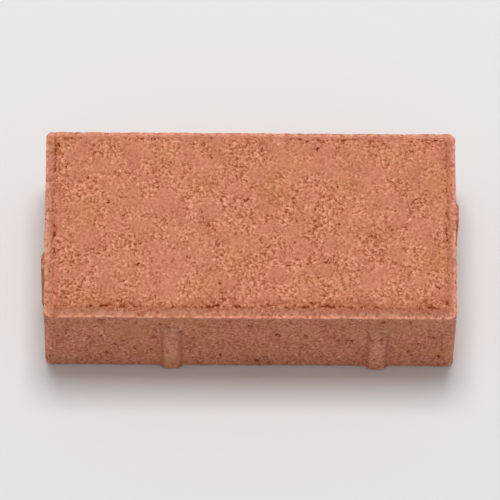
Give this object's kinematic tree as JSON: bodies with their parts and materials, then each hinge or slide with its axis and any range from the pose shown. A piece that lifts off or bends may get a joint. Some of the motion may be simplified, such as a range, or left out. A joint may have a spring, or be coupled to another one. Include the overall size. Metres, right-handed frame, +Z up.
{
  "type": "concrete paving stone",
  "caption": "Rectangular pressed concrete paving stone, twice as long as wide, with a bevelled wearing face inside a narrow level rim, plain sides with spacer nibs and a flat bed.",
  "frame": {"origin": "centre of the bed face, on the ground", "axes": "+X along the stone, +Y across it, +Z up to the wearing face"},
  "size_m": [0.204, 0.104, 0.06],
  "materials": {
    "red_concrete": "fine-grained pressed concrete, pigmented terracotta red all through, matt"
  },
  "bodies": {
    "root": {"paving_stone": "red_concrete"}
  },
  "joints": []
}
